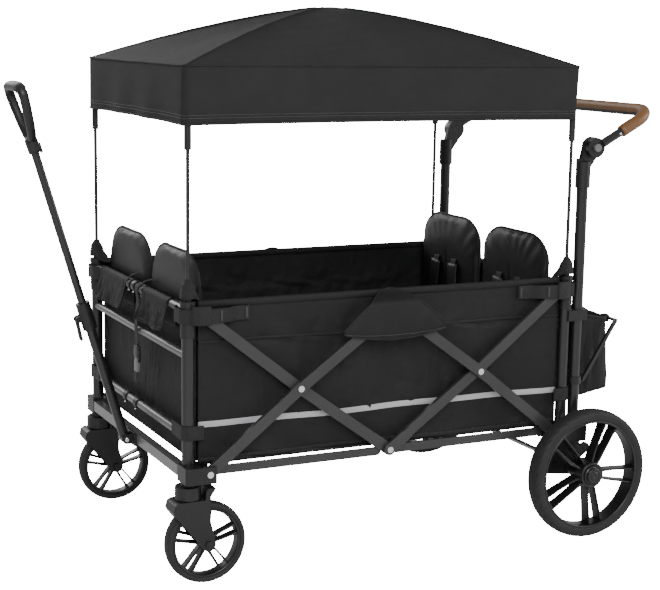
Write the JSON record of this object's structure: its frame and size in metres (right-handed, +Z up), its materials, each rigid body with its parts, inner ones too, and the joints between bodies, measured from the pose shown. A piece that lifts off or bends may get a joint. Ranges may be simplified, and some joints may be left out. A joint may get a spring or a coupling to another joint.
{
  "type": "folding pull wagon",
  "caption": "Folding push-and-pull wagon for children with a scissor-frame fabric tub, canopy, push handle, pull handle and basket.",
  "frame": {"origin": "on the ground, under the middle of the whole wagon with both handles", "axes": "+X towards the push-handle end, +Z up, +Y completes the right-handed frame"},
  "size_m": [1.4437, 0.837, 1.213],
  "materials": {
    "frame_black": "satin powder coat",
    "rail_grey": "satin grey paint",
    "bolt_chrome": "polished",
    "axle_steel": "zinc plated",
    "plastic_black": "fine texture",
    "tyre_black": "matt",
    "rim_black": "satin",
    "body_fabric": "woven polyester",
    "canopy_fabric": "woven canvas",
    "seat_fabric": "glossy coated weave",
    "grip_leather": "saddle brown",
    "grip_grey": "satin"
  },
  "bodies": {
    "tub": {"side_fabric_near": "body_fabric", "side_fabric_far": "body_fabric", "floor_mat": "body_fabric", "bottom_hinge_bolts": "bolt_chrome"},
    "arm_front_inner": {"arms_front_inner": "frame_black"},
    "arm_front_outer": {"arms_front_outer": "frame_black", "rivets_front": "bolt_chrome"},
    "arm_rear_inner": {"arms_rear_inner": "frame_black"},
    "arm_rear_outer": {"arms_rear_outer": "frame_black", "rivets_rear": "bolt_chrome"},
    "floor_front": {"floor_rails_front": "frame_black"},
    "floor_rear": {"floor_rails_rear": "frame_black"},
    "front_end": {"posts_front": "frame_black", "caster_brackets": "plastic_black", "rails_front": "rail_grey", "front_panel": "body_fabric", "seat_backs_front": "seat_fabric", "pivot_bolts_front": "bolt_chrome", "pull_base": "plastic_black", "front_strap": "body_fabric"},
    "front_corners": {"corners_front": "plastic_black", "tubes_front": "frame_black"},
    "seats_front": {"seat_bases_front": "seat_fabric"},
    "seats_rear": {"seat_bases_rear": "seat_fabric"},
    "caster_near": {"caster_fork_near": "plastic_black"},
    "caster_far": {"caster_fork_far": "plastic_black"},
    "front_wheel_near": {"front_tyre_near": "tyre_black", "front_rim_near": "rim_black"},
    "front_wheel_far": {"front_tyre_far": "tyre_black", "front_rim_far": "rim_black"},
    "rear_end": {"posts_rear": "frame_black", "wheel_brackets": "plastic_black", "rails_rear": "rail_grey", "rear_panel": "body_fabric", "seat_backs_rear": "seat_fabric", "pivot_bolts_rear": "bolt_chrome", "push_tubes": "frame_black", "push_sockets": "plastic_black", "rear_axle": "axle_steel", "basket_bag": "body_fabric"},
    "rear_wheel_near": {"rear_tyre_near": "tyre_black", "rear_rim_near": "rim_black"},
    "rear_wheel_far": {"rear_tyre_far": "tyre_black", "rear_rim_far": "rim_black"},
    "rear_corners": {"corners_rear": "plastic_black", "tubes_rear": "frame_black"},
    "push_handle": {"push_handle_bar": "frame_black", "push_grip": "grip_leather"},
    "push_button_near": {"push_button_near": "plastic_black"},
    "push_button_far": {"push_button_far": "plastic_black"},
    "canopy_front": {"canopy_top": "canopy_fabric", "canopy_tubes_front": "frame_black"},
    "canopy_rear": {"canopy_tubes_rear": "frame_black"},
    "pull_lower": {"pull_tube_lower": "frame_black", "pull_clamp": "plastic_black"},
    "pull_lever": {"pull_lever": "plastic_black"},
    "pull_upper": {"pull_tube_upper": "frame_black", "pull_grip": "grip_grey"},
    "basket_wire": {"basket_frame": "frame_black"},
    "brake": {"brake_pedal": "plastic_black"}
  },
  "joints": [
    {"name": "frame_fold", "type": "hinge", "parent": "tub", "child": "arm_front_inner", "pos_m": [0.02796, 0, 0.25], "axis": [0, 1, 0], "range_deg": [0, 36], "deforming": ["side_fabric_near", "side_fabric_far", "floor_mat", "canopy_top"]},
    {"name": "front_cross_pin", "type": "hinge", "parent": "arm_front_inner", "child": "arm_front_outer", "pos_m": [-0.19404, 0, 0.41], "axis": [0, -1, 0], "range_deg": [0, 72]},
    {"name": "front_bottom_pin", "type": "hinge", "parent": "arm_front_outer", "child": "front_end", "pos_m": [-0.40204, 0, 0.246], "axis": [0, 1, 0], "range_deg": [0, 36]},
    {"name": "front_corner_pin", "type": "hinge", "parent": "arm_front_inner", "child": "front_corners", "pos_m": [-0.40204, 0, 0.574], "axis": [0, -1, 0], "range_deg": [0, 36]},
    {"name": "rear_fold", "type": "hinge", "parent": "tub", "child": "arm_rear_inner", "pos_m": [0.02796, 0, 0.25], "axis": [0, -1, 0], "range_deg": [0, 36]},
    {"name": "rear_cross_pin", "type": "hinge", "parent": "arm_rear_inner", "child": "arm_rear_outer", "pos_m": [0.24996, 0, 0.41], "axis": [0, 1, 0], "range_deg": [0, 72]},
    {"name": "rear_bottom_pin", "type": "hinge", "parent": "arm_rear_outer", "child": "rear_end", "pos_m": [0.45796, 0, 0.246], "axis": [0, -1, 0], "range_deg": [0, 36]},
    {"name": "rear_corner_pin", "type": "hinge", "parent": "arm_rear_inner", "child": "rear_corners", "pos_m": [0.45796, 0, 0.574], "axis": [0, 1, 0], "range_deg": [0, 36]},
    {"name": "floor_rail_front_fold", "type": "hinge", "parent": "front_end", "child": "floor_front", "pos_m": [-0.40204, 0, 0.246], "axis": [0, -1, 0], "range_deg": [0, 68]},
    {"name": "floor_rail_rear_fold", "type": "hinge", "parent": "rear_end", "child": "floor_rear", "pos_m": [0.45796, 0, 0.246], "axis": [0, 1, 0], "range_deg": [0, 68]},
    {"name": "seats_front_fold", "type": "hinge", "parent": "front_end", "child": "seats_front", "pos_m": [-0.38429, 0, 0.364], "axis": [0, -1, 0], "range_deg": [0, 90]},
    {"name": "seats_rear_fold", "type": "hinge", "parent": "rear_end", "child": "seats_rear", "pos_m": [0.44021, 0, 0.364], "axis": [0, 1, 0], "range_deg": [0, 90]},
    {"name": "caster_swivel_near", "type": "hinge", "parent": "front_end", "child": "caster_near", "pos_m": [-0.43704, -0.315, 0.189], "axis": [0, 0, 1], "continuous": true},
    {"name": "caster_swivel_far", "type": "hinge", "parent": "front_end", "child": "caster_far", "pos_m": [-0.43704, 0.315, 0.189], "axis": [0, 0, 1], "continuous": true},
    {"name": "front_wheel_spin_near", "type": "hinge", "parent": "caster_near", "child": "front_wheel_near", "pos_m": [-0.39904, -0.315, 0.089], "axis": [0, 1, 0], "continuous": true},
    {"name": "front_wheel_spin_far", "type": "hinge", "parent": "caster_far", "child": "front_wheel_far", "pos_m": [-0.39904, 0.315, 0.089], "axis": [0, 1, 0], "continuous": true},
    {"name": "rear_wheel_spin_near", "type": "hinge", "parent": "rear_end", "child": "rear_wheel_near", "pos_m": [0.52496, -0.385, 0.1525], "axis": [0, 1, 0], "continuous": true},
    {"name": "rear_wheel_spin_far", "type": "hinge", "parent": "rear_end", "child": "rear_wheel_far", "pos_m": [0.52496, 0.385, 0.1525], "axis": [0, 1, 0], "continuous": true},
    {"name": "push_handle_tilt", "type": "hinge", "parent": "rear_end", "child": "push_handle", "pos_m": [0.55196, 0, 0.905], "axis": [0, -1, 0], "range_deg": [-100, 40]},
    {"name": "push_button_near", "type": "slide", "parent": "push_handle", "child": "push_button_near", "axis": [0, 1, 0], "range_m": [0, 0.003], "stiffness_N_per_m": 400},
    {"name": "push_button_far", "type": "slide", "parent": "push_handle", "child": "push_button_far", "axis": [0, -1, 0], "range_m": [0, 0.003], "stiffness_N_per_m": 400},
    {"name": "canopy_height", "type": "slide", "parent": "front_corners", "child": "canopy_front", "axis": [0, 0, 1], "range_m": [-0.115, 0]},
    {"name": "canopy_height_rear", "type": "slide", "parent": "rear_corners", "child": "canopy_rear", "axis": [0, 0, 1], "range_m": [-0.115, 0]},
    {"name": "pull_handle_tilt", "type": "hinge", "parent": "front_end", "child": "pull_lower", "pos_m": [-0.47204, 0, 0.243], "axis": [0, -1, 0], "range_deg": [-12, 62]},
    {"name": "pull_handle_telescope", "type": "slide", "parent": "pull_lower", "child": "pull_upper", "axis": [-0.2874, 0, 0.9578], "range_m": [-0.2, 0]},
    {"name": "pull_clamp_lever", "type": "hinge", "parent": "pull_lower", "child": "pull_lever", "pos_m": [-0.57837, 0, 0.52431], "axis": [0, -1, 0], "range_deg": [-75, 0]},
    {"name": "basket_fold", "type": "hinge", "parent": "rear_end", "child": "basket_wire", "pos_m": [0.55296, 0, 0.36], "axis": [0, -1, 0], "range_deg": [0, 30], "deforming": ["basket_bag"]},
    {"name": "brake_pedal_tilt", "type": "hinge", "parent": "rear_end", "child": "brake", "pos_m": [0.55896, 0, 0.1945], "axis": [0, 1, 0], "range_deg": [0, 20]}
  ],
  "couplings": [
    {"joint": "front_cross_pin", "follows": "frame_fold", "ratio": 2},
    {"joint": "front_bottom_pin", "follows": "frame_fold", "ratio": 1},
    {"joint": "front_corner_pin", "follows": "frame_fold", "ratio": 1},
    {"joint": "rear_fold", "follows": "frame_fold", "ratio": 1},
    {"joint": "rear_cross_pin", "follows": "frame_fold", "ratio": 2},
    {"joint": "rear_bottom_pin", "follows": "frame_fold", "ratio": 1},
    {"joint": "rear_corner_pin", "follows": "frame_fold", "ratio": 1},
    {"joint": "floor_rail_front_fold", "follows": "frame_fold", "ratio": 1.8889},
    {"joint": "floor_rail_rear_fold", "follows": "frame_fold", "ratio": 1.8889},
    {"joint": "seats_front_fold", "follows": "frame_fold", "ratio": 2.5},
    {"joint": "seats_rear_fold", "follows": "frame_fold", "ratio": 2.5},
    {"joint": "canopy_height_rear", "follows": "canopy_height", "ratio": 1}
  ]
}
